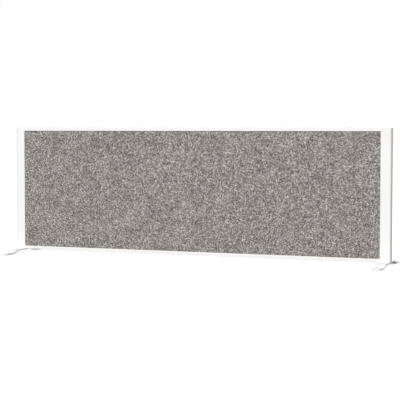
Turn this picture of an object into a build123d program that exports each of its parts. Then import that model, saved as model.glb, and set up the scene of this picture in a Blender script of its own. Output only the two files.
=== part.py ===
from build123d import *
import os
from math import atan, degrees, sin

# A desktop acoustic divider screen: a felt-faced panel held in a slim frame on two gull-winged
# feet. Millimetres. X runs along the screen, -Y is the front, +Z is up, and the origin lies on
# the table, under the middle of the screen.

# Driving sizes: the whole screen
screen_width = 1600.0
frame_height = 508.0
profile_wall = 2.0
edge_round = 0.8

# Driving sizes: the panel
core_thickness = 27.0
felt_thickness = 3.0
batten_width = 20.0
panel_clearance = 0.5

# Driving sizes: the posts and rails, which share one slot for the corner brackets and differ in
# how deep they grip the panel
chamber_width = 21.2
upright_corner_radius = 10.0
upright_grip = 10.0
bottom_rail_grip = 5.2
top_rail_grip = 7.2
ledge_thickness = 1.5
ledge_reach = 6.0
slot_clearance = 0.3

# Driving sizes: the corner brackets and their screws
bracket_thickness = 3.0
bracket_rail_leg = 54.0
bracket_post_leg = 42.0
bracket_side_clearance = 0.5
bracket_bend_radius = 1.0
bracket_screw_height = 26.0
bracket_screw_radius = 2.5
bracket_screw_length = 14.0
bracket_screw_head_radius = 4.8
set_screw_radius = 2.5
set_screw_socket_radius = 1.4
set_screw_socket_depth = 1.6
set_screw_pitch = 24.0

# Driving sizes: the inserts in the posts' ends and the caps on top
insert_height = 45.0
insert_clearance = 0.2
insert_hole_depth = 17.0
cap_thickness = 1.5
cap_pin_length = 12.0

# Driving sizes: the feet, their screws and pads
foot_thickness = 5.0
foot_rise = 11.0
foot_flat_length = 124.0
foot_bend_run = 53.0
toe_length = 50.0
foot_width = 36.0
toe_width = 30.0
toe_corner_radius = 6.0
foot_screw_radius = 3.0
foot_screw_length = 18.0
foot_screw_head_radius = 6.0
pad_thickness = 1.0
pad_length = 30.0
pad_width = 22.0
pad_corner_radius = 4.0

# Countersunk screws: their sockets, and their fits in a thread and through a plain hole
screw_socket_radius = 2.0
screw_socket_depth = 1.8
thread_clearance = 0.05
hole_clearance = 0.3
sink_clearance = 0.1

# The panel and the space that it slides into
panel_thickness = core_thickness + 2 * felt_thickness
channel_width = panel_thickness + 2 * panel_clearance
frame_depth = channel_width + 2 * profile_wall

# Depths into a profile from its open face: the grip, the ledge that the panel meets, and the slot
slot_depth = bracket_thickness + slot_clearance
ledge_gap = channel_width - 2 * ledge_reach
upright_web_depth = upright_grip + ledge_thickness + slot_depth
upright_width = upright_web_depth + profile_wall + chamber_width + profile_wall
rail_base = profile_wall + slot_depth + ledge_thickness

# Places along X, on the right-hand side
outer_x = screen_width / 2
inner_x = outer_x - upright_width
web_x = inner_x + upright_web_depth
chamber_x = outer_x - profile_wall - chamber_width / 2
upright_x = outer_x - upright_width / 2

# Places along Z
foot_drop = pad_thickness + foot_rise
frame_bottom = foot_drop + foot_thickness
frame_top = frame_bottom + frame_height
frame_middle = frame_bottom + frame_height / 2
upright_top = frame_top - cap_thickness
rail_floor_z = frame_bottom + profile_wall
rail_seat_z = frame_bottom + rail_base

# The panel stands on the bottom rail's ledges and is clear of the posts and the top rail
panel_width = 2 * (inner_x + upright_grip - panel_clearance)
panel_bottom = rail_seat_z
panel_top = frame_top - rail_base - panel_clearance
panel_height = panel_top - panel_bottom
panel_z = panel_bottom + panel_height / 2

# Screws stand in pairs, a quarter of the chamber's depth either side of the middle
screw_y = channel_width / 4
bracket_screw_z = frame_bottom + bracket_screw_height
upper_mirror = Plane.XY.offset(frame_middle)


def save(part, name):
    """Labels a finished piece and writes it under its name."""
    part.label = name
    export_step(part, f"parts/{name}.step")


def mirrored(part, plane):
    """The mirror image of a finished piece."""
    with BuildPart() as image:
        mirror(part, about=plane)
    return image.part


def save_pair(part, name):
    """Writes a right-hand piece and its left-hand image."""
    save(part, f"right_{name}")
    save(mirrored(part, Plane.YZ), f"left_{name}")


def post_section():
    """The post's outline in plan: broad rounding outside, crisp edges beside the felt."""
    with Locations((upright_x, 0)):
        outline = Rectangle(upright_width, frame_depth)
    fillet(outline.vertices().group_by(Axis.X)[-1], radius=upright_corner_radius)
    fillet(outline.vertices().group_by(Axis.X)[0], radius=edge_round)


def chamber_section(clearance):
    """The post's inner chamber in plan, or what fits in it with a clearance."""
    with Locations((chamber_x, 0)):
        outline = Rectangle(chamber_width - 2 * clearance, channel_width - 2 * clearance)
    corners = outline.vertices().group_by(Axis.X)[-1]
    fillet(corners, radius=max(upright_corner_radius - profile_wall - clearance, edge_round))


def countersunk_screw(radius, head_radius, length):
    """A screw with its head's face at the origin, pointing along +Z."""
    with BuildPart() as screw:
        Cylinder(radius, length, align=(Align.CENTER, Align.CENTER, Align.MIN))
        head_height = head_radius - radius
        Cone(head_radius, radius, head_height, align=(Align.CENTER, Align.CENTER, Align.MIN))
        with BuildSketch():
            RegularPolygon(screw_socket_radius, 6)
        extrude(amount=screw_socket_depth, mode=Mode.SUBTRACT)
    return screw.part


def slot_steps(grip):
    """Start, end and width of each step of the slot, as depths from the profile's open face."""
    ledge_start = grip
    slot_start = grip + ledge_thickness
    return [
        (0, ledge_start, channel_width),
        (ledge_start, slot_start, ledge_gap),
        (slot_start, slot_start + slot_depth, channel_width),
    ]


os.makedirs("parts", exist_ok=True)

# Posts: an outer chamber for the inserts, and a slot that holds the panel's edge
with BuildPart() as upright:
    with BuildSketch(Plane.XY.offset(frame_bottom)):
        post_section()
    extrude(amount=upright_top - frame_bottom)
    with BuildSketch(Plane.XY.offset(frame_bottom)):
        chamber_section(0)
        for start, end, width in slot_steps(upright_grip):
            with Locations((inner_x + (start + end) / 2, 0)):
                Rectangle(end - start, width)
    extrude(amount=upright_top - frame_bottom, mode=Mode.SUBTRACT)
    for screw_z in (bracket_screw_z, 2 * frame_middle - bracket_screw_z):
        for y in (-screw_y, screw_y):
            with Locations(Plane((web_x, y, screw_z), z_dir=(-1, 0, 0))):
                Hole(radius=bracket_screw_radius + hole_clearance, depth=profile_wall)
save_pair(upright.part, "upright")


def lower_rail(grip):
    """A rail at the foot of the frame, with the same slot turned up to the panel's edge."""
    rail_height = rail_base + grip
    with BuildPart() as rail:
        with BuildSketch(Plane.YZ.offset(-inner_x)):
            with Locations((0, frame_bottom + rail_height / 2)):
                rail_outline = Rectangle(frame_depth, rail_height)
            fillet(rail_outline.vertices(), radius=edge_round)
            for start, end, width in slot_steps(grip):
                with Locations((0, frame_bottom + rail_height - (start + end) / 2)):
                    Rectangle(width, end - start, mode=Mode.SUBTRACT)
        extrude(amount=2 * inner_x)
    return rail.part


# Rails: one under the panel, and one turned over on top of it
save(lower_rail(bottom_rail_grip), "bottom_rail")
save(mirrored(lower_rail(top_rail_grip), upper_mirror), "top_rail")

# Felt facings, one on each side of the core
with BuildPart() as felt:
    with Locations((0, -(core_thickness + felt_thickness) / 2, panel_z)):
        Box(panel_width, felt_thickness, panel_height)
save(felt.part, "front_felt")
save(mirrored(felt.part, Plane.XZ), "back_felt")

# Acoustic core, and the battens that edge it
core_width = panel_width - 2 * batten_width
core_height = panel_height - 2 * batten_width
with BuildPart() as core:
    with Locations((0, 0, panel_z)):
        Box(core_width, core_thickness, core_height)
save(core.part, "acoustic_core")

with BuildPart() as long_batten:
    with Locations((0, 0, panel_bottom + batten_width / 2)):
        Box(panel_width, core_thickness, batten_width)
save(long_batten.part, "bottom_batten")
save(mirrored(long_batten.part, Plane.XY.offset(panel_z)), "top_batten")

with BuildPart() as side_batten:
    with Locations(((panel_width - batten_width) / 2, 0, panel_z)):
        Box(batten_width, core_thickness, core_height)
save_pair(side_batten.part, "batten")

# Corner brackets: an angle whose legs lie in the slots, narrow where it passes the ledges
leg_width = channel_width - 2 * bracket_side_clearance
elbow_width = ledge_gap - 2 * bracket_side_clearance
leg_low = rail_floor_z + slot_clearance
leg_high = leg_low + bracket_thickness
elbow_end = web_x - bracket_thickness
set_screw_x = [
    inner_x - bracket_rail_leg / 2 - set_screw_pitch / 2,
    inner_x - bracket_rail_leg / 2 + set_screw_pitch / 2,
]
with BuildPart() as bracket:
    with BuildSketch(Plane.XZ):
        with BuildLine():
            Polyline(
                (inner_x - bracket_rail_leg, leg_low),
                (web_x, leg_low),
                (web_x, leg_high + bracket_post_leg),
                (elbow_end, leg_high + bracket_post_leg),
                (elbow_end, leg_high),
                (inner_x - bracket_rail_leg, leg_high),
                close=True,
            )
        make_face()
    extrude(amount=leg_width / 2, both=True)
    bend = bracket.edges().filter_by(Axis.Y).sort_by_distance((elbow_end, 0, leg_high))[0]
    fillet(bend, radius=bracket_bend_radius)
    notch_depth = (leg_width - elbow_width) / 2
    notch_start = inner_x - bracket_side_clearance
    with BuildSketch(Plane.XY.offset(leg_low)):
        for side in (-1, 1):
            notch_y = side * (leg_width - notch_depth) / 2
            with Locations(((notch_start + elbow_end) / 2, notch_y)):
                Rectangle(elbow_end - notch_start, notch_depth)
    extrude(amount=bracket_thickness + bracket_bend_radius, mode=Mode.SUBTRACT)
    for y in (-screw_y, screw_y):
        with Locations(Plane((elbow_end, y, bracket_screw_z), z_dir=(-1, 0, 0))):
            CounterSinkHole(
                radius=bracket_screw_radius + hole_clearance,
                counter_sink_radius=bracket_screw_head_radius + sink_clearance,
                depth=bracket_thickness,
                counter_sink_angle=90,
            )
    with Locations(*[(x, 0, leg_high) for x in set_screw_x]):
        Hole(radius=set_screw_radius + thread_clearance, depth=bracket_thickness)
save_pair(bracket.part, "bottom_bracket")
save_pair(mirrored(bracket.part, upper_mirror), "top_bracket")

# Bracket screws: through the bracket and the post's web into the inserts
bracket_screw = countersunk_screw(
    bracket_screw_radius, bracket_screw_head_radius, bracket_screw_length
)
with BuildPart() as bracket_screws:
    for screw_z in (bracket_screw_z, 2 * frame_middle - bracket_screw_z):
        for y in (-screw_y, screw_y):
            with Locations(Plane((elbow_end, y, screw_z), z_dir=(1, 0, 0))):
                add(bracket_screw)
save_pair(bracket_screws.part, "bracket_screws")

# Set screws: they press on the rail's floor and jam the brackets against its ledges
with BuildPart() as set_screws:
    set_screw_places = [(side * x, 0) for side in (-1, 1) for x in set_screw_x]
    with BuildSketch(Plane.XY.offset(rail_floor_z)):
        with Locations(*set_screw_places):
            Circle(set_screw_radius)
    extrude(amount=slot_depth)
    with BuildSketch(Plane.XY.offset(leg_high)):
        with Locations(*set_screw_places):
            RegularPolygon(set_screw_socket_radius, 6)
    extrude(amount=-set_screw_socket_depth, mode=Mode.SUBTRACT)
save(set_screws.part, "bottom_rail_set_screws")
save(mirrored(set_screws.part, upper_mirror), "top_rail_set_screws")

# Inserts: one block for each post end, drilled for the foot screws or the cap's pins
insert_web_x = chamber_x - chamber_width / 2 + insert_clearance
insert_reach = elbow_end + bracket_screw_length - insert_web_x
with BuildPart() as insert:
    with BuildSketch(Plane.XY.offset(frame_bottom)):
        chamber_section(insert_clearance)
    extrude(amount=insert_height)
    with Locations(*[(chamber_x, y, frame_bottom) for y in (-screw_y, screw_y)]):
        with Locations(Rotation(180, 0, 0)):
            Hole(radius=foot_screw_radius + thread_clearance, depth=insert_hole_depth)
    for y in (-screw_y, screw_y):
        with Locations(Plane((insert_web_x, y, bracket_screw_z), z_dir=(-1, 0, 0))):
            Hole(
                radius=bracket_screw_radius + thread_clearance,
                depth=insert_reach + bracket_screw_radius,
            )
save_pair(insert.part, "base_insert")
with BuildPart() as top_insert:
    mirror(insert.part, about=upper_mirror)
    split(bisect_by=Plane.XY.offset(upright_top), keep=Keep.BOTTOM)
save_pair(top_insert.part, "top_insert")

# End caps: a thin plate with two pins that push into the top insert
with BuildPart() as end_cap:
    with BuildSketch(Plane.XY.offset(upright_top)):
        post_section()
    extrude(amount=cap_thickness)
    fillet(end_cap.faces().sort_by(Axis.Z)[-1].outer_wire().edges(), radius=edge_round)
    with BuildSketch(Plane.XY.offset(upright_top)):
        with Locations((chamber_x, -screw_y), (chamber_x, screw_y)):
            Circle(foot_screw_radius)
    extrude(amount=-cap_pin_length)
save_pair(end_cap.part, "end_cap")

# Feet: a plate that is flat under the post and steps down to a toe at each end. Each step is two
# equal arcs, so the bend angle follows from the step's rise and run.
flat_end = foot_flat_length / 2
toe_start = flat_end + foot_bend_run
toe_end = toe_start + toe_length
bend_angle = 2 * atan(foot_rise / foot_bend_run)
bend_radius = foot_bend_run / (2 * sin(bend_angle))
wide_bend = bend_radius + foot_thickness / 2
tight_bend = bend_radius - foot_thickness / 2
flat_tolerance = 1e-6
bend_degrees = degrees(bend_angle)
with BuildPart() as foot:
    with BuildSketch(Plane.YZ.offset(upright_x - foot_width / 2)):
        with BuildLine():
            top_flat = Line((0, frame_bottom), (flat_end, frame_bottom))
            crest = JernArc(top_flat @ 1, top_flat % 1, wide_bend, -bend_degrees)
            hollow = JernArc(crest @ 1, crest % 1, tight_bend, bend_degrees)
            toe_top = pad_thickness + foot_thickness
            Line(hollow @ 1, (toe_end, toe_top))
            Line((toe_end, toe_top), (toe_end, pad_thickness))
            sole = Line((toe_end, pad_thickness), (toe_start, pad_thickness))
            heel = JernArc(sole @ 1, sole % 1, wide_bend, -bend_degrees)
            arch = JernArc(heel @ 1, heel % 1, tight_bend, bend_degrees)
            Line(arch @ 1, (0, foot_drop))
            Line((0, foot_drop), (0, frame_bottom))
        make_face()
    extrude(amount=foot_width)
    mirror(about=Plane.XZ)
    plan_corners = [
        (foot_width / 2, flat_end),
        (toe_width / 2, toe_end),
        (-toe_width / 2, toe_end),
        (-foot_width / 2, flat_end),
        (-foot_width / 2, -flat_end),
        (-toe_width / 2, -toe_end),
        (toe_width / 2, -toe_end),
        (foot_width / 2, -flat_end),
    ]
    with BuildSketch(Plane.XY):
        with Locations((upright_x, 0)):
            plan = Polygon(*plan_corners, align=None)
        toe_corners = plan.vertices().group_by(Axis.Y)
        fillet(toe_corners[0] + toe_corners[-1], radius=toe_corner_radius)
    extrude(amount=frame_bottom, mode=Mode.INTERSECT)
    walls = foot.faces().filter_by(lambda face: abs(face.normal_at().Z) < flat_tolerance)
    fillet(walls.edges().filter_by(Axis.Z, reverse=True), radius=edge_round)
    with Locations(*[(chamber_x, y, foot_drop) for y in (-screw_y, screw_y)]):
        with Locations(Rotation(180, 0, 0)):
            CounterSinkHole(
                radius=foot_screw_radius + hole_clearance,
                counter_sink_radius=foot_screw_head_radius + sink_clearance,
                depth=foot_thickness,
                counter_sink_angle=90,
            )
save_pair(foot.part, "foot")

# Foot screws: countersunk from below, up into the base insert
foot_screw = countersunk_screw(foot_screw_radius, foot_screw_head_radius, foot_screw_length)
with BuildPart() as foot_screws:
    with Locations((chamber_x, -screw_y, foot_drop), (chamber_x, screw_y, foot_drop)):
        add(foot_screw)
save_pair(foot_screws.part, "foot_screws")

# Pads: stuck under the toes, so that the screen stands on rubber
with BuildPart() as pad:
    with BuildSketch(Plane.XY):
        with Locations((upright_x, -(toe_start + toe_end) / 2)):
            pad_outline = Rectangle(pad_width, pad_length)
        fillet(pad_outline.vertices(), radius=pad_corner_radius)
    extrude(amount=pad_thickness)
for end, end_part in (("front", pad.part), ("back", mirrored(pad.part, Plane.XZ))):
    save(end_part, f"{end}_right_pad")
    save(mirrored(end_part, Plane.YZ), f"{end}_left_pad")
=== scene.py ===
import math

import bmesh
import bpy
from bpy.props import FloatProperty, FloatVectorProperty, IntProperty, PointerProperty
from mathutils import Matrix, Vector, noise


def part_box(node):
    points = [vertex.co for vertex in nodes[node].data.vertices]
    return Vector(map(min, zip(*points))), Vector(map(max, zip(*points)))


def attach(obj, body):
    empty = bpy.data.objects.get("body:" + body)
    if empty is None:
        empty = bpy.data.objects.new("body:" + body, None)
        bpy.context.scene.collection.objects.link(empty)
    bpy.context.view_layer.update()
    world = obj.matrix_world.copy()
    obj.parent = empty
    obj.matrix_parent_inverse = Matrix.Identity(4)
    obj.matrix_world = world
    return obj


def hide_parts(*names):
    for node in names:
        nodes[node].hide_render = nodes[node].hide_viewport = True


bl_info = {
    "name": "Desk Divider Screen",
    "version": (1, 0, 0),
    "blender": (4, 5, 0),
    "location": "3D View > Sidebar > Divider Screen",
    "description": "Dresses a felt-faced desk screen in its white frame and sets up its studio",
    "category": "Object",
}

# The frame: every piece takes its size and place from the nodes that it covers or meets
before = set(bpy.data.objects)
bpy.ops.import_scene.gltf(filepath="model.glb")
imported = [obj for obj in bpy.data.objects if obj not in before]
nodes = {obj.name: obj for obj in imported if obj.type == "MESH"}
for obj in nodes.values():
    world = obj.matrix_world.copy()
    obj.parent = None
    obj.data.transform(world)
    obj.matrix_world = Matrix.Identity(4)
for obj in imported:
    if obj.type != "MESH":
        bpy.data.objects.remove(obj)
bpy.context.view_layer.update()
body = "root"
sides = ("left", "right")
ends = ("front", "back")
millimetre = 0.001


class DividerFeltSettings(bpy.types.PropertyGroup):
    """The two felt faces."""

    pitch: FloatProperty(
        name="Relief pitch",
        description="Spacing of the points that carry the felt's relief",
        default=3.0 * millimetre,
        unit="LENGTH",
    )
    tuft_size: FloatProperty(
        name="Tuft size",
        description="Width of the clumps of fibre on the felt's face",
        default=5.0 * millimetre,
        unit="LENGTH",
    )
    drift_size: FloatProperty(
        name="Drift size",
        description="Width of the faint clouds in which the mix of fibres changes",
        default=36.0 * millimetre,
        unit="LENGTH",
    )
    tuft_height: FloatProperty(
        name="Tuft height",
        description="How far the clumps stand in and out of the face",
        default=0.22 * millimetre,
        unit="LENGTH",
    )
    edge_dip: FloatProperty(
        name="Edge dip",
        description="How far the face is pressed in where it enters the frame",
        default=0.4 * millimetre,
        unit="LENGTH",
    )
    edge_reach: FloatProperty(
        name="Edge reach",
        description="Width of the pressed margin beside the frame",
        default=9.0 * millimetre,
        unit="LENGTH",
    )
    fibre_width: FloatProperty(
        name="Fibre width",
        description="Width of one bundle of fibres",
        default=0.4 * millimetre,
        unit="LENGTH",
    )
    fibre_length: FloatProperty(
        name="Fibre length",
        description="Length of one bundle of fibres",
        default=4.5 * millimetre,
        unit="LENGTH",
    )
    middle_colour: FloatVectorProperty(
        name="Middle fibres",
        description="Colour of most of the fibres",
        subtype="COLOR",
        default=(0.27, 0.2445, 0.232),
    )
    dark_colour: FloatVectorProperty(
        name="Dark fibres",
        description="Colour of the darkest fibres",
        subtype="COLOR",
        default=(0.025, 0.021, 0.019),
    )
    light_colour: FloatVectorProperty(
        name="Light fibres",
        description="Colour of the palest fibres",
        subtype="COLOR",
        default=(0.84, 0.795, 0.758),
    )
    # Painted shade between the felt's strands: how much darker a strand is painted where it runs
    # under its neighbours
    strand_shade_depth: FloatProperty(
        name="Strand depth",
        description="How much darker a strand is where it runs under its neighbours",
        default=0.36,
        subtype="FACTOR",
    )


class DividerCoatSettings(bpy.types.PropertyGroup):
    """The white finish of the frame, the feet and the caps."""

    white: FloatVectorProperty(
        name="White",
        description="Colour of the powder coat and of the caps",
        subtype="COLOR",
        default=(0.888, 0.88, 0.866),
    )
    peel_size: FloatProperty(
        name="Peel size",
        description="Width of the fine ripples in the powder coat",
        default=1.1 * millimetre,
        unit="LENGTH",
    )
    rub_radius: FloatProperty(
        name="Rub radius",
        description="How far from an edge the coat is rubbed smoother",
        default=1.0 * millimetre,
        unit="LENGTH",
    )


class DividerPadSettings(bpy.types.PropertyGroup):
    """The anti-slip pads under the toes."""

    corner_radius: FloatProperty(
        name="Corner radius",
        description="Radius of the pads' corners in plan",
        default=4.0 * millimetre,
        unit="LENGTH",
    )
    edge_round: FloatProperty(
        name="Edge rounding",
        description="Rounding of the pads' edges",
        default=0.2 * millimetre,
        unit="LENGTH",
    )
    groove_count: IntProperty(
        name="Grooves",
        description="Number of grip grooves across each pad's underside",
        default=6,
    )
    groove_width: FloatProperty(
        name="Groove width",
        description="Width of a grip groove",
        default=0.9 * millimetre,
        unit="LENGTH",
    )
    groove_depth: FloatProperty(
        name="Groove depth",
        description="Depth of a grip groove",
        default=0.35 * millimetre,
        unit="LENGTH",
    )


class DividerStudioSettings(bpy.types.PropertyGroup):
    """The camera and the soft light."""

    focal_pixels: FloatProperty(
        name="Focal length",
        description="Focal length in pixels of the square picture",
        default=1281.5,
    )
    azimuth: FloatProperty(
        name="Azimuth",
        description="How far the camera stands to the right of the screen's front",
        default=math.radians(21.413),
        subtype="ANGLE",
    )
    pitch: FloatProperty(
        name="Pitch",
        description="How far the camera looks down",
        default=math.radians(3.281),
        subtype="ANGLE",
    )
    distance: FloatProperty(
        name="Distance",
        description="Distance from the camera to the point that it looks at",
        default=5.115,
        unit="LENGTH",
    )
    target: FloatVectorProperty(
        name="Target",
        description="The point that the camera looks at",
        subtype="XYZ",
        unit="LENGTH",
        default=(0.0232, 0.0, 0.2362),
    )
    ambient: FloatProperty(
        name="Ambient light",
        description="Strength of the even light from all round",
        default=0.09,
    )
    key: FloatProperty(
        name="Key light",
        description="Light of the front lamp on a white surface that faces it",
        default=1.15,
    )
    key_azimuth: FloatProperty(
        name="Key azimuth",
        description="How far the front lamp stands to the right of the screen's front",
        default=math.radians(11.0),
        subtype="ANGLE",
    )
    key_elevation: FloatProperty(
        name="Key elevation",
        description="How high the front lamp stands",
        default=math.radians(38.0),
        subtype="ANGLE",
    )
    fill: FloatProperty(
        name="Fill light",
        description="Light of the rear lamp on a white surface that faces it",
        default=0.75,
    )
    fill_elevation: FloatProperty(
        name="Fill elevation",
        description="How high the rear lamp stands, straight behind the screen",
        default=math.radians(30.0),
        subtype="ANGLE",
    )
    lamp_spread: FloatProperty(
        name="Lamp spread",
        description="Angle that each lamp fills, seen from the screen",
        default=math.radians(30.0),
        subtype="ANGLE",
    )
    table_tone: FloatProperty(
        name="Table tone",
        description="Share of the light that the table sends back up at the screen",
        default=0.25,
    )
    shadow_tone: FloatProperty(
        name="Shadow tone",
        description="Share of the lamps' light in the white table that the camera sees",
        default=0.25,
    )
    table_glow: FloatProperty(
        name="Table glow",
        description="Even white of the table that the camera sees, under the shadows",
        default=0.86,
    )
    # Painted contact shadow on the table: how far from the feet, and how strongly, ambient
    # occlusion darkens the table's glow
    painted_shadow_reach: FloatProperty(
        name="Contact reach",
        description="How far from the feet the table is dimmed by their nearness",
        default=8.0 * millimetre,
        unit="LENGTH",
    )
    painted_shadow_share: FloatProperty(
        name="Contact share",
        description="How much of the table's even white the feet's nearness takes away",
        default=0.35,
        subtype="FACTOR",
    )


# Shader helpers

pure_white = (1.0, 1.0, 1.0, 1.0)


def make_node(tree, kind, inputs=None, **values):
    """A shader node with its own values set, and its input sockets set by name."""
    node = tree.nodes.new(kind)
    for name, value in values.items():
        setattr(node, name, value)
    for name, value in (inputs or {}).items():
        feed(tree, node.inputs[name], value)
    return node


def feed(tree, socket, value):
    """Links a socket to another one, or sets it to a plain value."""
    if isinstance(value, bpy.types.NodeSocket):
        tree.links.new(value, socket)
    else:
        socket.default_value = value


def shown(sockets):
    """The sockets that a node uses in its present mode."""
    return [socket for socket in sockets if socket.enabled]


def calculate(tree, operation, first, second):
    """One step of arithmetic on masks."""
    node = make_node(tree, "ShaderNodeMath", operation=operation)
    feed(tree, node.inputs[0], first)
    feed(tree, node.inputs[1], second)
    return node.outputs["Value"]


def combine(tree, operation, first, second):
    """One step of arithmetic on vectors."""
    node = make_node(tree, "ShaderNodeVectorMath", operation=operation)
    feed(tree, node.inputs[0], first)
    feed(tree, node.inputs[1], second)
    return shown(node.outputs)[0]


def remap(tree, value, low, high, to_low=0.0, to_high=1.0):
    """A smooth step of a value from one span to another."""
    spans = {"Value": value, "From Min": low, "From Max": high, "To Min": to_low, "To Max": to_high}
    node = make_node(tree, "ShaderNodeMapRange", inputs=spans, interpolation_type="SMOOTHSTEP")
    return node.outputs["Result"]


def mix_colours(tree, share, first, second, blend="MIX"):
    """Two colours mixed by a mask."""
    node = make_node(tree, "ShaderNodeMix", data_type="RGBA", blend_type=blend)
    for socket, value in zip(shown(node.inputs), (share, first, second)):
        feed(tree, socket, value)
    return shown(node.outputs)[0]


def noise_value(tree, vector, size, detail=2.0, roughness=0.5):
    """Noise whose grains are about one size wide."""
    scale = calculate(tree, "DIVIDE", 1.0, size)
    inputs = {"Vector": vector, "Scale": scale, "Detail": detail, "Roughness": roughness}
    return make_node(tree, "ShaderNodeTexNoise", inputs=inputs).outputs["Fac"]


def weigh(tree, *parts):
    """The sum of masks, each times its weight."""
    total = 0.0
    for mask, weight in parts:
        total = calculate(tree, "ADD", calculate(tree, "MULTIPLY", mask, weight), total)
    return total


def new_group(name, inputs, outputs):
    """An empty shader group with its named sockets, and its two ends."""
    group = bpy.data.node_groups.new(name, "ShaderNodeTree")
    for label, kind, value in inputs:
        socket = group.interface.new_socket(label, in_out="INPUT", socket_type=kind)
        if value is not None:
            socket.default_value = value
    for label, kind in outputs:
        group.interface.new_socket(label, in_out="OUTPUT", socket_type=kind)
    entry = group.nodes.new("NodeGroupInput")
    leave = group.nodes.new("NodeGroupOutput")
    return group, entry.outputs, leave.inputs


def place_group(tree, name, **inputs):
    """The outputs of a shared group that is placed in a material with its own values."""
    named = {label.replace("_", " ").title(): value for label, value in inputs.items()}
    group = bpy.data.node_groups[name]
    node = make_node(tree, "ShaderNodeGroup", node_tree=group)
    for label, value in named.items():
        feed(tree, node.inputs[label], value)
    return node.outputs


def new_material(name, **constants):
    """A material with a Principled shader, its constant values set on the shader itself."""
    material = bpy.data.materials.new(name)
    material.use_nodes = True
    tree = material.node_tree
    shader = tree.nodes["Principled BSDF"]
    for label, value in constants.items():
        shader.inputs[label.replace("_", " ")].default_value = value
    place = tree.nodes.new("ShaderNodeTexCoord").outputs["Object"]
    return material, tree, shader, place


def dress(tree, shader, colour, roughness, height, depth, strength):
    """Feeds a shader its colour and its roughness, and a bump of the given depth."""
    feed(tree, shader.inputs["Base Color"], colour)
    feed(tree, shader.inputs["Roughness"], roughness)
    inputs = {"Height": height, "Distance": depth, "Strength": strength}
    bump = make_node(tree, "ShaderNodeBump", inputs=inputs)
    tree.links.new(bump.outputs["Normal"], shader.inputs["Normal"])


def opaque(colour):
    """A colour with its alpha, as colour sockets take it."""
    return (*colour, 1.0)


# Shared shader groups

VECTOR = "NodeSocketVector"
VALUE = "NodeSocketFloat"


def bend_place(tree, place, reach):
    """Coordinates bent this way and that, so that straight strands curl."""
    swirls_in_reach = 1.6
    bend_share = 0.7
    scale = calculate(tree, "DIVIDE", swirls_in_reach, reach)
    swirl = make_node(tree, "ShaderNodeTexNoise", inputs={"Vector": place, "Scale": scale})
    centred = combine(tree, "SUBTRACT", swirl.outputs["Color"], (0.5, 0.5, 0.5))
    strength = calculate(tree, "MULTIPLY", reach, bend_share)
    bend = make_node(
        tree,
        "ShaderNodeVectorMath",
        inputs={"Vector": centred, "Scale": strength},
        operation="SCALE",
    )
    return combine(tree, "ADD", place, bend.outputs["Vector"])


def lay_strands(tree, place, width, length, turns):
    """Strands that lie three ways across the face: the lowest and the highest of them."""
    shift_per_degree = 13.0 * millimetre
    size = make_node(tree, "ShaderNodeCombineXYZ", inputs={"X": length, "Y": length, "Z": width})
    lowest = None
    highest = None
    for turn in turns:
        shift = turn * shift_per_degree
        laid = make_node(
            tree,
            "ShaderNodeMapping",
            inputs={
                "Vector": place,
                "Location": (shift, 0.0, shift),
                "Rotation": (0.0, math.radians(turn), 0.0),
                "Scale": size.outputs["Vector"],
            },
            vector_type="TEXTURE",
        )
        strand = noise_value(tree, laid.outputs["Vector"], 1.0, detail=1.0)
        lowest = strand if lowest is None else calculate(tree, "MINIMUM", lowest, strand)
        highest = strand if highest is None else calculate(tree, "MAXIMUM", highest, strand)
    return lowest, highest


def build_melange_group():
    """Felt of mixed fibres: masks of its fibres and single strands, and the height of its tufts."""
    group, given, result = new_group(
        "Melange Fibres",
        [
            ("Vector", VECTOR, None),
            ("Tuft Size", VALUE, 6.0 * millimetre),
            ("Drift Size", VALUE, 36.0 * millimetre),
            ("Fibre Width", VALUE, 0.4 * millimetre),
            ("Fibre Length", VALUE, 4.0 * millimetre),
        ],
        [("Light", VALUE), ("Dark", VALUE), ("Strand", VALUE), ("Height", VALUE)],
    )
    bundle_turns = (38.0, 97.0, 160.0)
    strand_turns = (14.0, 71.0, 133.0)
    tufts_in_width = 0.5
    tufts_in_length = 2.0
    tuft_weight = 0.45
    drift_weight = 0.07
    bundle_weight = 0.55
    strand_weight = 0.6
    light_from, light_full = 0.955, 1.065
    dark_from, dark_full = 0.72, 0.61
    strand_low, strand_high = 0.38, 0.62

    place = given["Vector"]
    tuft_size = given["Tuft Size"]
    tufts = noise_value(group, place, tuft_size, detail=3.0, roughness=0.6)
    drifts = noise_value(group, place, given["Drift Size"])
    bent = bend_place(group, place, given["Fibre Length"])
    bundle_width = calculate(group, "MULTIPLY", tuft_size, tufts_in_width)
    bundle_length = calculate(group, "MULTIPLY", tuft_size, tufts_in_length)
    low_bundle, high_bundle = lay_strands(group, bent, bundle_width, bundle_length, bundle_turns)
    low_strand, high_strand = lay_strands(
        group, bent, given["Fibre Width"], given["Fibre Length"], strand_turns
    )

    shared = weigh(group, (tufts, tuft_weight), (drifts, drift_weight))
    pale = weigh(group, (shared, 1.0), (high_bundle, bundle_weight), (high_strand, strand_weight))
    deep = weigh(group, (shared, 1.0), (low_bundle, bundle_weight), (low_strand, strand_weight))
    single = weigh(group, (high_strand, 0.5), (low_strand, 0.5))
    height = weigh(group, (tufts, 0.5), (high_bundle, 0.3), (high_strand, 0.4))
    feed(group, result["Light"], remap(group, pale, light_from, light_full))
    feed(group, result["Dark"], remap(group, deep, dark_from, dark_full))
    feed(group, result["Strand"], remap(group, single, strand_low, strand_high))
    feed(group, result["Height"], height)


def build_peel_group():
    """Fine ripples and faint cloudiness of a sprayed or moulded surface."""
    group, given, result = new_group(
        "Surface Peel",
        [
            ("Vector", VECTOR, None),
            ("Peel Size", VALUE, 1.0 * millimetre),
            ("Cloud Size", VALUE, 120.0 * millimetre),
        ],
        [("Height", VALUE), ("Cloud", VALUE)],
    )
    place = given["Vector"]
    ripple = noise_value(group, place, given["Peel Size"], roughness=0.45)
    cloud = noise_value(group, place, given["Cloud Size"], detail=3.0, roughness=0.6)
    feed(group, result["Height"], ripple)
    feed(group, result["Cloud"], remap(group, cloud, 0.3, 0.7))


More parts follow.
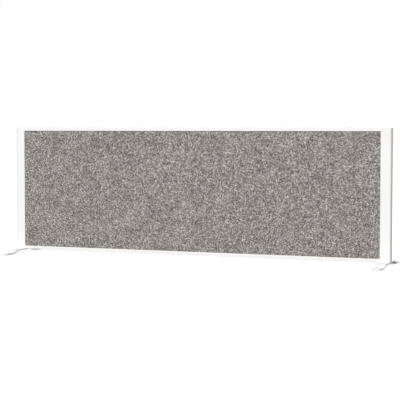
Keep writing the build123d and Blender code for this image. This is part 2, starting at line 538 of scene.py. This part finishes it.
def build_rub_group():
    """A broken mask along the edges, where hands and cloths rub the finish."""
    group, given, result = new_group(
        "Edge Rub",
        [
            ("Vector", VECTOR, None),
            ("Radius", VALUE, 1.0 * millimetre),
            ("Breakup", VALUE, 20.0 * millimetre),
        ],
        [("Mask", VALUE)],
    )
    flat, turned = 0.995, 0.85
    rounded = make_node(group, "ShaderNodeBevel", inputs={"Radius": given["Radius"]}, samples=4)
    real = make_node(group, "ShaderNodeNewGeometry")
    alike = combine(group, "DOT_PRODUCT", rounded.outputs["Normal"], real.outputs["Normal"])
    edge = remap(group, alike, flat, turned)
    breakup = noise_value(group, given["Vector"], given["Breakup"], detail=3.0)
    patches = remap(group, breakup, 0.4, 0.65)
    feed(group, result["Mask"], calculate(group, "MULTIPLY", edge, patches))


def build_dust_group():
    """Light dust on the faces that look up, in soft patches."""
    group, given, result = new_group(
        "Settled Dust",
        [
            ("Vector", VECTOR, None),
            ("Patch Size", VALUE, 30.0 * millimetre),
            ("Amount", VALUE, 0.3),
        ],
        [("Mask", VALUE)],
    )
    steep, level = 0.55, 0.95
    facing = make_node(group, "ShaderNodeNewGeometry").outputs["Normal"]
    split = make_node(group, "ShaderNodeSeparateXYZ", inputs={"Vector": facing})
    up = remap(group, split.outputs["Z"], steep, level)
    soft = noise_value(group, given["Vector"], given["Patch Size"], detail=5.0, roughness=0.65)
    patches = remap(group, soft, 0.35, 0.7)
    settled = calculate(group, "MULTIPLY", up, patches)
    feed(group, result["Mask"], calculate(group, "MULTIPLY", settled, given["Amount"]))


def build_grain_group():
    """Long fine lines, as in drawn metal or planed wood, and blotches across them."""
    line_size = (50.0 * millimetre, 0.8 * millimetre, 0.8 * millimetre)
    group, given, result = new_group(
        "Drawn Grain",
        [
            ("Vector", VECTOR, None),
            ("Line Size", VECTOR, line_size),
            ("Blotch", VALUE, 20.0 * millimetre),
        ],
        [("Lines", VALUE), ("Blotches", VALUE)],
    )
    drawn = combine(group, "DIVIDE", given["Vector"], given["Line Size"])
    lines = noise_value(group, drawn, 1.0, detail=3.0, roughness=0.6)
    blotches = noise_value(group, given["Vector"], given["Blotch"], detail=3.0, roughness=0.55)
    feed(group, result["Lines"], lines)
    feed(group, result["Blotches"], remap(group, blotches, 0.35, 0.65))


# Materials

dust_colour = (0.74, 0.73, 0.7)


def dusted_white(tree, white, shade_share, peel, dust):
    """White in faint clouds of two tones, greyed where dust lies."""
    shade = [shade_share * part for part in white]
    clouded = mix_colours(tree, peel["Cloud"], opaque(shade), opaque(white))
    return mix_colours(tree, dust["Mask"], clouded, opaque(dust_colour))


def edge_worn(tree, patches, first, second, rub, worn):
    """Two tones in soft patches, and a third one where the edges are rubbed."""
    patched = mix_colours(tree, patches, opaque(first), opaque(second))
    return mix_colours(tree, rub["Mask"], patched, opaque(worn))


def melange(tree, fibres, middle, dark, light):
    """The colours of mixed fibres: dark ones and light ones over the middle ones."""
    darker = mix_colours(tree, fibres["Dark"], opaque(middle), opaque(dark))
    return mix_colours(tree, fibres["Light"], darker, opaque(light))


def felt_material(settings):
    """Grey melange felt: dark and light fibres over a warm middle grey, with painted shade between
    its strands and a soft nap.
    """
    material, tree, shader, place = new_material(
        "grey_melange_felt", Specular_IOR_Level=0.2, Sheen_Weight=0.1, Sheen_Roughness=0.6
    )
    fibres = place_group(
        tree,
        "Melange Fibres",
        vector=place,
        tuft_size=settings.tuft_size,
        drift_size=settings.drift_size,
        fibre_width=settings.fibre_width,
        fibre_length=settings.fibre_length,
    )
    mixed = melange(
        tree, fibres, settings.middle_colour, settings.dark_colour, settings.light_colour
    )
    # Painted shade between strands: the fibre colours are multiplied down to grey where the strand
    # mask is low
    under = opaque((1.0 - settings.strand_shade_depth,) * 3)
    strand = mix_colours(tree, fibres["Strand"], under, pure_white)
    colour = mix_colours(tree, 1.0, mixed, strand, blend="MULTIPLY")
    roughness = remap(tree, fibres["Height"], 0.4, 0.9, to_low=0.98, to_high=0.86)
    dress(
        tree, shader, colour, roughness, fibres["Height"], depth=0.8 * millimetre, strength=0.5
    )
    return material


def coat_material(settings):
    """White powder coat with a fine peel, rubbed edges and a little dust on top."""
    material, tree, shader, place = new_material("white_powder_coat", Specular_IOR_Level=0.08)
    peel = place_group(tree, "Surface Peel", vector=place, peel_size=settings.peel_size)
    rub = place_group(tree, "Edge Rub", vector=place, radius=settings.rub_radius)
    dust = place_group(tree, "Settled Dust", vector=place, amount=0.25)
    shade_share = 0.985
    polish_share = 0.16
    dulling_share = 0.5
    polish = calculate(tree, "MULTIPLY", rub["Mask"], polish_share)
    dulling = calculate(tree, "MULTIPLY", dust["Mask"], dulling_share)
    matt = remap(tree, peel["Cloud"], 0.0, 1.0, to_low=0.66, to_high=0.74)
    rubbed = calculate(tree, "SUBTRACT", matt, polish)
    roughness = calculate(tree, "ADD", rubbed, dulling)
    colour = dusted_white(tree, settings.white, shade_share, peel, dust)
    dress(
        tree, shader, colour, roughness, peel["Height"], depth=0.05 * millimetre, strength=0.6
    )
    return material


def cap_material(settings):
    """White moulded plastic, a touch smoother than the coat."""
    material, tree, shader, place = new_material("white_cap_plastic", Specular_IOR_Level=0.35)
    peel = place_group(
        tree,
        "Surface Peel",
        vector=place,
        peel_size=0.45 * millimetre,
        cloud_size=30.0 * millimetre,
    )
    dust = place_group(tree, "Settled Dust", vector=place, amount=0.3)
    shade_share = 0.98
    roughness = remap(tree, peel["Cloud"], 0.0, 1.0, to_low=0.5, to_high=0.58)
    colour = dusted_white(tree, settings.white, shade_share, peel, dust)
    dress(
        tree, shader, colour, roughness, peel["Height"], depth=0.03 * millimetre, strength=0.5
    )
    return material


def core_material():
    """Bonded polyester fibre board: pale, with sparse grey fibres."""
    material, tree, shader, place = new_material("pale_fibre_board", Specular_IOR_Level=0.2)
    fibres = place_group(
        tree,
        "Melange Fibres",
        vector=place,
        tuft_size=11.0 * millimetre,
        fibre_width=0.5 * millimetre,
        fibre_length=9.0 * millimetre,
    )
    middle = (0.62, 0.61, 0.57)
    dark = (0.36, 0.36, 0.35)
    light = (0.82, 0.81, 0.77)
    colour = melange(tree, fibres, middle, dark, light)
    roughness = remap(tree, fibres["Height"], 0.4, 0.9, to_low=0.98, to_high=0.85)
    dress(
        tree, shader, colour, roughness, fibres["Height"], depth=1.0 * millimetre, strength=0.6
    )
    return material


def batten_material(name, line_size):
    """Planed softwood, its rings drawn out along the batten."""
    material, tree, shader, place = new_material(name, Specular_IOR_Level=0.3)
    grain = place_group(
        tree, "Drawn Grain", vector=place, line_size=line_size, blotch=80.0 * millimetre
    )
    early_wood = opaque((0.62, 0.43, 0.24))
    late_wood = opaque((0.4, 0.24, 0.11))
    stain = opaque((0.7, 0.52, 0.31))
    stain_share = 0.35
    rings = remap(tree, grain["Lines"], 0.35, 0.65)
    wood = mix_colours(tree, rings, early_wood, late_wood)
    stained = mix_colours(tree, grain["Blotches"], wood, stain)
    colour = mix_colours(tree, stain_share, wood, stained)
    roughness = remap(tree, rings, 0.0, 1.0, to_low=0.62, to_high=0.78)
    dress(tree, shader, colour, roughness, rings, depth=0.15 * millimetre, strength=0.5)
    return material


def zinc_material():
    """Bright zinc plate over rolled steel."""
    material, tree, shader, place = new_material("bright_zinc_plate", Metallic=1.0)
    grain = place_group(
        tree,
        "Drawn Grain",
        vector=place,
        line_size=(30.0 * millimetre, 0.5 * millimetre, 0.5 * millimetre),
        blotch=6.0 * millimetre,
    )
    rub = place_group(
        tree, "Edge Rub", vector=place, radius=0.4 * millimetre, breakup=4.0 * millimetre
    )
    bluish = (0.56, 0.58, 0.6)
    greyish = (0.68, 0.68, 0.66)
    bright = (0.8, 0.8, 0.8)
    colour = edge_worn(tree, grain["Blotches"], bluish, greyish, rub, bright)
    roughness = remap(tree, grain["Lines"], 0.3, 0.7, to_low=0.28, to_high=0.45)
    dress(
        tree, shader, colour, roughness, grain["Lines"], depth=0.02 * millimetre, strength=0.5
    )
    return material


def alloy_material():
    """Cast aluminium with a sandy skin."""
    material, tree, shader, place = new_material("cast_alloy", Metallic=1.0)
    peel = place_group(
        tree,
        "Surface Peel",
        vector=place,
        peel_size=0.8 * millimetre,
        cloud_size=15.0 * millimetre,
    )
    rub = place_group(
        tree, "Edge Rub", vector=place, radius=0.5 * millimetre, breakup=6.0 * millimetre
    )
    dull = (0.5, 0.51, 0.52)
    clear = (0.62, 0.62, 0.63)
    bright = (0.78, 0.78, 0.79)
    colour = edge_worn(tree, peel["Cloud"], dull, clear, rub, bright)
    roughness = remap(tree, peel["Height"], 0.3, 0.7, to_low=0.42, to_high=0.6)
    dress(
        tree, shader, colour, roughness, peel["Height"], depth=0.12 * millimetre, strength=0.7
    )
    return material


def rubber_material():
    """Soft black rubber, greyed by lint."""
    material, tree, shader, place = new_material("pad_rubber", Specular_IOR_Level=0.35)
    peel = place_group(
        tree,
        "Surface Peel",
        vector=place,
        peel_size=0.35 * millimetre,
        cloud_size=8.0 * millimetre,
    )
    rub = place_group(
        tree, "Edge Rub", vector=place, radius=0.3 * millimetre, breakup=4.0 * millimetre
    )
    black = (0.012, 0.012, 0.013)
    greyed = (0.024, 0.024, 0.025)
    worn = (0.06, 0.06, 0.058)
    colour = edge_worn(tree, peel["Cloud"], black, greyed, rub, worn)
    roughness = remap(tree, peel["Height"], 0.3, 0.7, to_low=0.7, to_high=0.88)
    dress(
        tree, shader, colour, roughness, peel["Height"], depth=0.08 * millimetre, strength=0.6
    )
    return material


# Pieces

def finish_nodes(names, material):
    """Gives carried-over nodes their material."""
    for name in names:
        for slot in nodes[name].material_slots:
            slot.material = material


def add_piece(name, mesh, material, replaced):
    """Turns a finished bmesh into a piece that rides on the body and stands for a node."""
    data = bpy.data.meshes.new(name)
    mesh.to_mesh(data)
    mesh.free()
    data.materials.append(material)
    piece = bpy.data.objects.new(name, data)
    bpy.context.scene.collection.objects.link(piece)
    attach(piece, body)
    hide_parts(replaced)
    return piece


def smooth_step(value):
    """Eases a share from 0 to 1."""
    share = min(max(value, 0.0), 1.0)
    return share * share * (3.0 - 2.0 * share)


# Felt faces

def opening_box():
    """The corners of the opening that the posts and rails leave in front of the felt."""
    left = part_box("left_upright")[1].x
    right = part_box("right_upright")[0].x
    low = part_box("bottom_rail")[1].z
    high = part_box("top_rail")[0].z
    return left, right, low, high


def felt_relief(point, settings):
    """How far a point of the face stands out, by tufts of two sizes."""
    broad_size = 2.2 * settings.tuft_size
    fine_size = 0.9 * settings.tuft_size
    fine_shift = Vector((7.0, 3.0, 5.0))
    broad_share = 0.45
    fine_share = 0.8
    broad = noise.noise(point / broad_size)
    fine = noise.noise(point / fine_size + fine_shift)
    return settings.tuft_height * (broad_share * broad + fine_share * fine)


def standing_grid(width, height, centre, outward, pitch):
    """A grid of even pitch that stands across the depth and faces outward."""
    mesh = bmesh.new()
    columns = round(width / pitch)
    rows = round(height / pitch)
    bmesh.ops.create_grid(mesh, x_segments=columns, y_segments=rows, size=0.5)
    bmesh.ops.scale(mesh, vec=(width, height, 1.0), verts=mesh.verts)
    stand = Matrix.Rotation(math.radians(-90.0 * outward), 3, "X")
    bmesh.ops.rotate(mesh, cent=(0.0, 0.0, 0.0), matrix=stand, verts=mesh.verts)
    bmesh.ops.translate(mesh, vec=centre, verts=mesh.verts)
    return mesh


def close_behind(mesh, back_y):
    """Gives an open sheet its rim and a flat back."""
    rim = [edge for edge in mesh.edges if edge.is_boundary]
    walls = bmesh.ops.extrude_edge_only(mesh, edges=rim)["geom"]
    for item in walls:
        if isinstance(item, bmesh.types.BMVert):
            item.co.y = back_y
    back_rim = [edge for edge in mesh.edges if edge.is_boundary]
    bmesh.ops.contextual_create(mesh, geom=back_rim)


def felt_face(node, outward, settings, material):
    """A closed sheet of felt: fine relief on the side that shows, flat on the side of the core."""
    low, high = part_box(node)
    middle = (low + high) / 2
    width = high.x - low.x
    height = high.z - low.z
    face_y = high.y if outward > 0 else low.y
    core_y = low.y if outward > 0 else high.y
    left, right, sill, head = opening_box()
    centre = (middle.x, face_y, middle.z)
    mesh = standing_grid(width, height, centre, outward, settings.pitch)
    for vert in mesh.verts:
        inset = min(vert.co.x - left, right - vert.co.x, vert.co.z - sill, head - vert.co.z)
        open_share = smooth_step(inset / settings.edge_reach)
        rise = open_share * felt_relief(vert.co, settings) - (1.0 - open_share) * settings.edge_dip
        vert.co.y += outward * rise
    for face in mesh.faces:
        face.smooth = True
    close_behind(mesh, core_y)
    bmesh.ops.recalc_face_normals(mesh, faces=mesh.faces)
    piece = add_piece(f"{node}_face", mesh, material, node)


class DIVIDER_OT_felt_faces(bpy.types.Operator):
    """Makes the felt faces on the front and the back"""

    bl_idname = "divider.felt_faces"
    bl_label = "Felt faces"

    def execute(self, context):
        settings = context.scene.divider_felt
        material = felt_material(settings)
        felt_face("front_felt", -1, settings, material)
        felt_face("back_felt", 1, settings, material)
        return {"FINISHED"}


# Pads

def slice_across(mesh, cut_y):
    """Splits the faces of a mesh at a plane across the pad."""
    bmesh.ops.bisect_plane(
        mesh,
        geom=mesh.verts[:] + mesh.edges[:] + mesh.faces[:],
        plane_co=(0.0, cut_y, 0.0),
        plane_no=(0.0, 1.0, 0.0),
    )


def cut_grooves(mesh, low_y, length, settings):
    """Presses even grooves up into the pad's underside, from side to side."""
    land = length / (settings.groove_count + 1)
    for index in range(settings.groove_count):
        groove_y = low_y + (index + 1) * land
        for side in (-0.5, 0.5):
            slice_across(mesh, groove_y + side * settings.groove_width)
    grooves = []
    for face in mesh.faces:
        step = (face.calc_center_median().y - low_y) / land
        in_groove = abs(step - round(step)) * land < settings.groove_width / 2
        faces_down = face.normal.z < -0.5
        if in_groove and faces_down:
            grooves.append(face)
    for face in grooves:
        for vert in face.verts:
            vert.co.z += settings.groove_depth


def at_corner(edge, low, high):
    """Whether an edge stands upright at a corner of the pad's plan."""
    start, end = [vert.co for vert in edge.verts]
    tolerance = 0.01 * millimetre
    upright = abs(start.z - end.z) > (high.z - low.z) / 2
    at_side = min(abs(start.x - low.x), abs(start.x - high.x)) < tolerance
    at_end = min(abs(start.y - low.y), abs(start.y - high.y)) < tolerance
    return upright and at_side and at_end


def round_edges(mesh, edges, radius, steps):
    """Rounds the given edges with a number of facets."""
    bmesh.ops.bevel(
        mesh,
        geom=edges,
        offset=radius,
        offset_type="OFFSET",
        affect="EDGES",
        segments=steps,
        profile=0.5,
        material=-1,
        clamp_overlap=True,
    )


def grip_pad(node, settings, material):
    """A rubber pad with rounded corners and edges and grip grooves across its underside."""
    corner_steps = 8
    edge_steps = 2
    sharp_angle = math.radians(40.0)
    low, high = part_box(node)
    size = high - low
    mesh = bmesh.new()
    bmesh.ops.create_cube(mesh, size=1.0)
    bmesh.ops.scale(mesh, vec=size, verts=mesh.verts)
    bmesh.ops.translate(mesh, vec=(low + high) / 2, verts=mesh.verts)
    cut_grooves(mesh, low.y, size.y, settings)
    corners = [edge for edge in mesh.edges if at_corner(edge, low, high)]
    round_edges(mesh, corners, settings.corner_radius, corner_steps)
    sharp = [edge for edge in mesh.edges if edge.calc_face_angle(0.0) > sharp_angle]
    round_edges(mesh, sharp, settings.edge_round, edge_steps)
    bmesh.ops.recalc_face_normals(mesh, faces=mesh.faces)
    add_piece(f"{node}_grip", mesh, material, node)


class DIVIDER_OT_grip_pads(bpy.types.Operator):
    """Makes the anti-slip pads under the four toes"""

    bl_idname = "divider.grip_pads"
    bl_label = "Grip pads"

    def execute(self, context):
        material = rubber_material()
        for end in ends:
            for side in sides:
                grip_pad(f"{end}_{side}_pad", context.scene.divider_pads, material)
        return {"FINISHED"}


# Finishes of the nodes that keep their shape

class DIVIDER_OT_frame_finish(bpy.types.Operator):
    """Coats the posts, rails and feet, and gives the caps their plastic"""

    bl_idname = "divider.frame_finish"
    bl_label = "Frame finish"

    def execute(self, context):
        settings = context.scene.divider_coat
        coated = ["bottom_rail", "top_rail"]
        for side in sides:
            coated += [f"{side}_upright", f"{side}_foot"]
        finish_nodes(coated, coat_material(settings))
        finish_nodes([f"{side}_end_cap" for side in sides], cap_material(settings))
        return {"FINISHED"}


class DIVIDER_OT_core_finish(bpy.types.Operator):
    """Gives the sound-absorbing board and its battens their materials"""

    bl_idname = "divider.core_finish"
    bl_label = "Core finish"

    def execute(self, context):
        finish_nodes(["acoustic_core"], core_material())
        along = 350.0 * millimetre
        across = 3.0 * millimetre
        lying = batten_material("softwood_lying", (along, across, across))
        standing = batten_material("softwood_standing", (across, across, along))
        finish_nodes(["top_batten", "bottom_batten"], lying)
        finish_nodes(["left_batten", "right_batten"], standing)
        return {"FINISHED"}


class DIVIDER_OT_hardware_finish(bpy.types.Operator):
    """Gives the brackets, screws and inserts their metals"""

    bl_idname = "divider.hardware_finish"
    bl_label = "Hardware finish"

    def execute(self, context):
        plated = ["top_rail_set_screws", "bottom_rail_set_screws"]
        cast = []
        for side in sides:
            plated += [f"{side}_top_bracket", f"{side}_bottom_bracket"]
            plated += [f"{side}_bracket_screws", f"{side}_foot_screws"]
            cast += [f"{side}_base_insert", f"{side}_top_insert"]
        finish_nodes(plated, zinc_material())
        finish_nodes(cast, alloy_material())
        return {"FINISHED"}


# Studio

def seen_directly(tree):
    """A mask of the rays that show the background itself: camera, mirror and glass rays."""
    rays = tree.nodes.new("ShaderNodeLightPath").outputs
    mirrored = calculate(tree, "MAXIMUM", rays["Is Glossy Ray"], rays["Is Transmission Ray"])
    return calculate(tree, "MAXIMUM", rays["Is Camera Ray"], mirrored)


def make_world(settings):
    """Even pale light, and plain white where the background shows."""
    world = bpy.data.worlds.new("studio_light")
    bpy.context.scene.world = world
    world.use_nodes = True
    tree = world.node_tree
    background = tree.nodes["Background"]
    background.inputs["Color"].default_value = pure_white
    spans = {"Value": seen_directly(tree), "To Min": settings.ambient, "To Max": 1.0}
    strength = make_node(tree, "ShaderNodeMapRange", inputs=spans)
    tree.links.new(strength.outputs["Result"], background.inputs["Strength"])


def join_shaders(tree, kind, first, second, share=None):
    """Adds two shaders, or mixes them by a mask, and gives what comes out."""
    node = tree.nodes.new(kind)
    if share is not None:
        feed(tree, node.inputs["Fac"], share)
    plugs = [socket for socket in node.inputs if socket.type == "SHADER"]
    feed(tree, plugs[0], first)
    feed(tree, plugs[1], second)
    return node.outputs["Shader"]


def floor_material(settings):
    """A pale table that shows white, keeps the screen's shadow, carries a painted contact shadow
    near the feet and is clear from below.
    """
    material = bpy.data.materials.new("studio_floor")
    material.use_nodes = True
    tree = material.node_tree
    tree.nodes.remove(tree.nodes["Principled BSDF"])
    # Painted contact shadow: ambient occlusion near the feet darkens the table's even glow, where
    # no lamp's shadow falls
    near = make_node(
        tree,
        "ShaderNodeAmbientOcclusion",
        inputs={"Distance": settings.painted_shadow_reach},
        samples=8,
    )
    dimmed = mix_colours(tree, settings.painted_shadow_share, pure_white, near.outputs["Color"])
    inputs = {"Color": dimmed, "Strength": settings.table_glow}
    glow = make_node(tree, "ShaderNodeEmission", inputs=inputs).outputs["Emission"]
    shadow_grey = opaque((settings.shadow_tone,) * 3)
    table_grey = opaque((settings.table_tone,) * 3)
    shadow = make_node(tree, "ShaderNodeBsdfDiffuse", inputs={"Color": shadow_grey}).outputs["BSDF"]
    pale = make_node(tree, "ShaderNodeBsdfDiffuse", inputs={"Color": table_grey}).outputs["BSDF"]
    clear = tree.nodes.new("ShaderNodeBsdfTransparent").outputs["BSDF"]
    below = tree.nodes.new("ShaderNodeNewGeometry").outputs["Backfacing"]
    seen = join_shaders(tree, "ShaderNodeAddShader", shadow, glow)
    by_ray = join_shaders(tree, "ShaderNodeMixShader", pale, seen, seen_directly(tree))
    by_side = join_shaders(tree, "ShaderNodeMixShader", by_ray, clear, below)
    tree.links.new(by_side, tree.nodes["Material Output"].inputs["Surface"])
    return material


def make_floor(settings):
    """The tabletop that the screen stands on."""
    half_width = 12.0
    mesh = bmesh.new()
    bmesh.ops.create_grid(mesh, x_segments=1, y_segments=1, size=half_width)
    data = bpy.data.meshes.new("studio_floor")
    mesh.to_mesh(data)
    mesh.free()
    data.materials.append(floor_material(settings))
    floor = bpy.data.objects.new("studio_floor", data)
    bpy.context.scene.collection.objects.link(floor)


def direction_from(azimuth, elevation):
    """The direction from the object towards a place round it; azimuth 0 is straight in front."""
    level = math.cos(elevation)
    return Vector((math.sin(azimuth) * level, -math.cos(azimuth) * level, math.sin(elevation)))


def make_lamp(name, azimuth, elevation, light, spread):
    """A broad soft lamp; its light is given as the brightness of a white surface that faces it."""
    lamp = bpy.data.lights.new(name, "SUN")
    lamp.energy = light * math.pi
    lamp.angle = spread
    holder = bpy.data.objects.new(name, lamp)
    holder.rotation_mode = "QUATERNION"
    holder.rotation_quaternion = (-direction_from(azimuth, elevation)).to_track_quat("-Z", "Y")
    bpy.context.scene.collection.objects.link(holder)


def make_camera(settings):
    """The camera, at the picture's viewing angle."""
    picture_pixels = 400.0
    data = bpy.data.cameras.new("picture_camera")
    data.sensor_width = 36.0
    data.lens = settings.focal_pixels * data.sensor_width / picture_pixels
    camera = bpy.data.objects.new("picture_camera", data)
    back = direction_from(settings.azimuth, settings.pitch)
    camera.location = Vector(settings.target) + settings.distance * back
    camera.rotation_mode = "QUATERNION"
    camera.rotation_quaternion = (-back).to_track_quat("-Z", "Y")
    bpy.context.scene.collection.objects.link(camera)
    bpy.context.scene.camera = camera


class DIVIDER_OT_studio(bpy.types.Operator):
    """Sets up the floor, the soft light and the camera"""

    bl_idname = "divider.studio"
    bl_label = "Studio"

    def execute(self, context):
        settings = context.scene.divider_studio
        make_world(settings)
        make_floor(settings)
        spread = settings.lamp_spread
        make_lamp("key_lamp", settings.key_azimuth, settings.key_elevation, settings.key, spread)
        make_lamp("fill_lamp", math.pi, settings.fill_elevation, settings.fill, spread)
        make_camera(settings)
        context.scene.view_settings.view_transform = "Standard"
        return {"FINISHED"}


# Panel and registration

class DIVIDER_PT_parts(bpy.types.Panel):
    """Lists the divider screen's operators and settings"""

    bl_label = "Divider Screen"
    bl_idname = "DIVIDER_PT_parts"
    bl_space_type = "VIEW_3D"
    bl_region_type = "UI"
    bl_category = "Divider Screen"

    def draw(self, context):
        scene = context.scene
        for operator in operators:
            self.layout.operator(operator.bl_idname)
        for group in settings_classes:
            settings = getattr(scene, group)
            box = self.layout.box()
            for name in settings.__annotations__:
                box.prop(settings, name)


settings_classes = {
    "divider_felt": DividerFeltSettings,
    "divider_coat": DividerCoatSettings,
    "divider_pads": DividerPadSettings,
    "divider_studio": DividerStudioSettings,
}
operators = [
    DIVIDER_OT_studio,
    DIVIDER_OT_frame_finish,
    DIVIDER_OT_felt_faces,
    DIVIDER_OT_grip_pads,
    DIVIDER_OT_core_finish,
    DIVIDER_OT_hardware_finish,
]


def register():
    for name, settings in settings_classes.items():
        bpy.utils.register_class(settings)
        setattr(bpy.types.Scene, name, PointerProperty(type=settings))
    for operator in operators:
        bpy.utils.register_class(operator)
    bpy.utils.register_class(DIVIDER_PT_parts)


def unregister():
    bpy.utils.unregister_class(DIVIDER_PT_parts)
    for operator in reversed(operators):
        bpy.utils.unregister_class(operator)
    for name, settings in settings_classes.items():
        delattr(bpy.types.Scene, name)
        bpy.utils.unregister_class(settings)


def build_groups():
    """The shader groups that the materials share."""
    build_melange_group()
    build_peel_group()
    build_rub_group()
    build_dust_group()
    build_grain_group()


def main():
    register()
    build_groups()
    bpy.ops.divider.studio()
    bpy.ops.divider.frame_finish()
    bpy.ops.divider.felt_faces()
    bpy.ops.divider.grip_pads()
    bpy.ops.divider.core_finish()
    bpy.ops.divider.hardware_finish()


if __name__ == "__main__":
    main()
